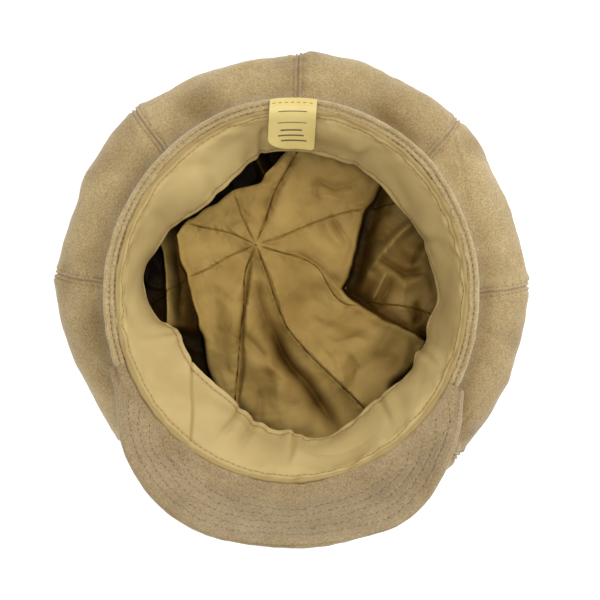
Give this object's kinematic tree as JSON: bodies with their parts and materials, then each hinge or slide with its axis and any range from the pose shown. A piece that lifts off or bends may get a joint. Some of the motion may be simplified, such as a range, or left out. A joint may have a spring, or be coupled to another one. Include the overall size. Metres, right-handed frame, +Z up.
{
  "type": "newsboy cap",
  "caption": "Soft newsboy cap lying upside down on its crown: panelled suede-cotton shell, lined inside, turned rim with sweatband, and a stiff stitched visor.",
  "frame": {"origin": "on the surface that the cap lies on, under the middle of its plan outline; the crown's button is 2.5 mm behind it", "axes": "+Z up, out of the head opening: the cap lies upside down on its crown; -Y towards the visor's tip, +Y towards the label at the centre back; +X to the right when looking down into the cap with the visor nearest"},
  "size_m": [0.2376, 0.2428, 0.1068],
  "materials": {
    "shell_suede": "brushed suede-like cotton, warm khaki tan",
    "visor_suede": "brushed suede-like cotton, a little greyer",
    "lining_cotton": "polished cotton, olive khaki",
    "sweatband_cotton": "smooth cotton, khaki yellow",
    "label_satin": "cream satin ribbon",
    "interlining": "stiff woven interlining",
    "elastic": "braided elastic",
    "visor_board": "flexible plastic board",
    "button_metal": "bare stamped metal",
    "washer_plastic": "plain washer"
  },
  "bodies": {
    "crown": {"crown_panel_1": "shell_suede", "crown_panel_2": "shell_suede", "crown_panel_3": "shell_suede", "crown_panel_4": "shell_suede", "crown_panel_5": "shell_suede", "crown_panel_6": "shell_suede", "crown_panel_7": "shell_suede", "crown_panel_8": "shell_suede", "lining_panel_1": "lining_cotton", "lining_panel_2": "lining_cotton", "lining_panel_3": "lining_cotton", "lining_panel_4": "lining_cotton", "lining_panel_5": "lining_cotton", "lining_panel_6": "lining_cotton", "lining_panel_7": "lining_cotton", "lining_panel_8": "lining_cotton", "button_cover": "shell_suede", "button_shell": "button_metal", "button_back": "button_metal", "button_washer": "washer_plastic"},
    "band": {"outer_band": "shell_suede", "sweatband": "sweatband_cotton", "band_interlining": "interlining", "back_elastic": "elastic", "visor_seam": "shell_suede"},
    "visor": {"visor_top_cover": "shell_suede", "visor_under_cover": "visor_suede", "visor_board": "visor_board"},
    "label": {"label": "label_satin"}
  },
  "joints": [
    {"name": "crown_collapse", "type": "slide", "parent": "crown", "child": "band", "axis": [0, 0, -1], "range_m": [-0.03, 0.03], "deforming": ["crown_panel_1", "crown_panel_2", "crown_panel_3", "crown_panel_4", "crown_panel_5", "crown_panel_6", "crown_panel_7", "crown_panel_8", "lining_panel_1", "lining_panel_2", "lining_panel_3", "lining_panel_4", "lining_panel_5", "lining_panel_6", "lining_panel_7", "lining_panel_8"]},
    {"name": "visor_tilt", "type": "hinge", "parent": "band", "child": "visor", "pos_m": [0, -0.0766, 0.07], "axis": [1, 0, 0], "range_deg": [-10, 10], "deforming": ["visor_seam"]},
    {"name": "label_flip", "type": "hinge", "parent": "band", "child": "label", "pos_m": [0, 0.0932, 0.0726], "axis": [-1, 0, 0], "range_deg": [0, 160]}
  ]
}
